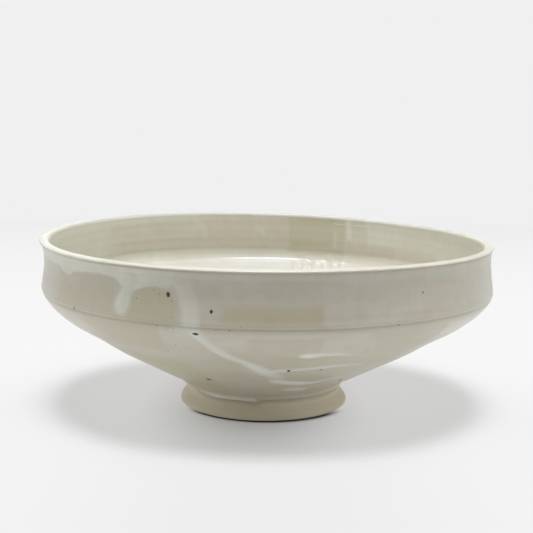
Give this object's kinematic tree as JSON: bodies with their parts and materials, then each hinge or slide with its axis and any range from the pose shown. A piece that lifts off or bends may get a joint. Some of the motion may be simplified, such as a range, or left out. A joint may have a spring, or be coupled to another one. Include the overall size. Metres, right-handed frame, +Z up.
{
  "type": "stoneware bowl",
  "caption": "Wide thrown stoneware bowl with a rounded lip, a hollowed collar above a sharp shoulder, a conical wall and a flared bare foot ring, in a pale translucent glaze with raised runs.",
  "frame": {"origin": "middle of the foot ring's base", "axes": "+Z up along the bowl's axis of revolution, -Y towards the viewer of the picture's front, +X to the right"},
  "size_m": [0.24, 0.24, 0.0916],
  "materials": {
    "bare_clay": "unglazed fired stoneware, matt, with fine turning lines",
    "slip_clay": "fired slip, matt",
    "inner_glaze": "glossy translucent pale glaze over beige clay",
    "outer_glaze": "glossy translucent pale glaze over beige clay, mottled",
    "lip_glaze": "glossy pale glaze",
    "run_glaze": "glossy thick pale glaze"
  },
  "bodies": {
    "root": {"bowl_body": "bare_clay", "foot_ring": "bare_clay", "foot_slip": "slip_clay", "inner_glaze": "inner_glaze", "outer_glaze": "outer_glaze", "lip_glaze": "lip_glaze", "collar_tear_run": "run_glaze", "collar_streak_run": "run_glaze", "wall_diagonal_run": "run_glaze", "upper_wave_run": "run_glaze", "lower_wave_run": "run_glaze", "shoulder_run": "run_glaze", "foot_glaze_roll": "run_glaze"}
  },
  "joints": []
}
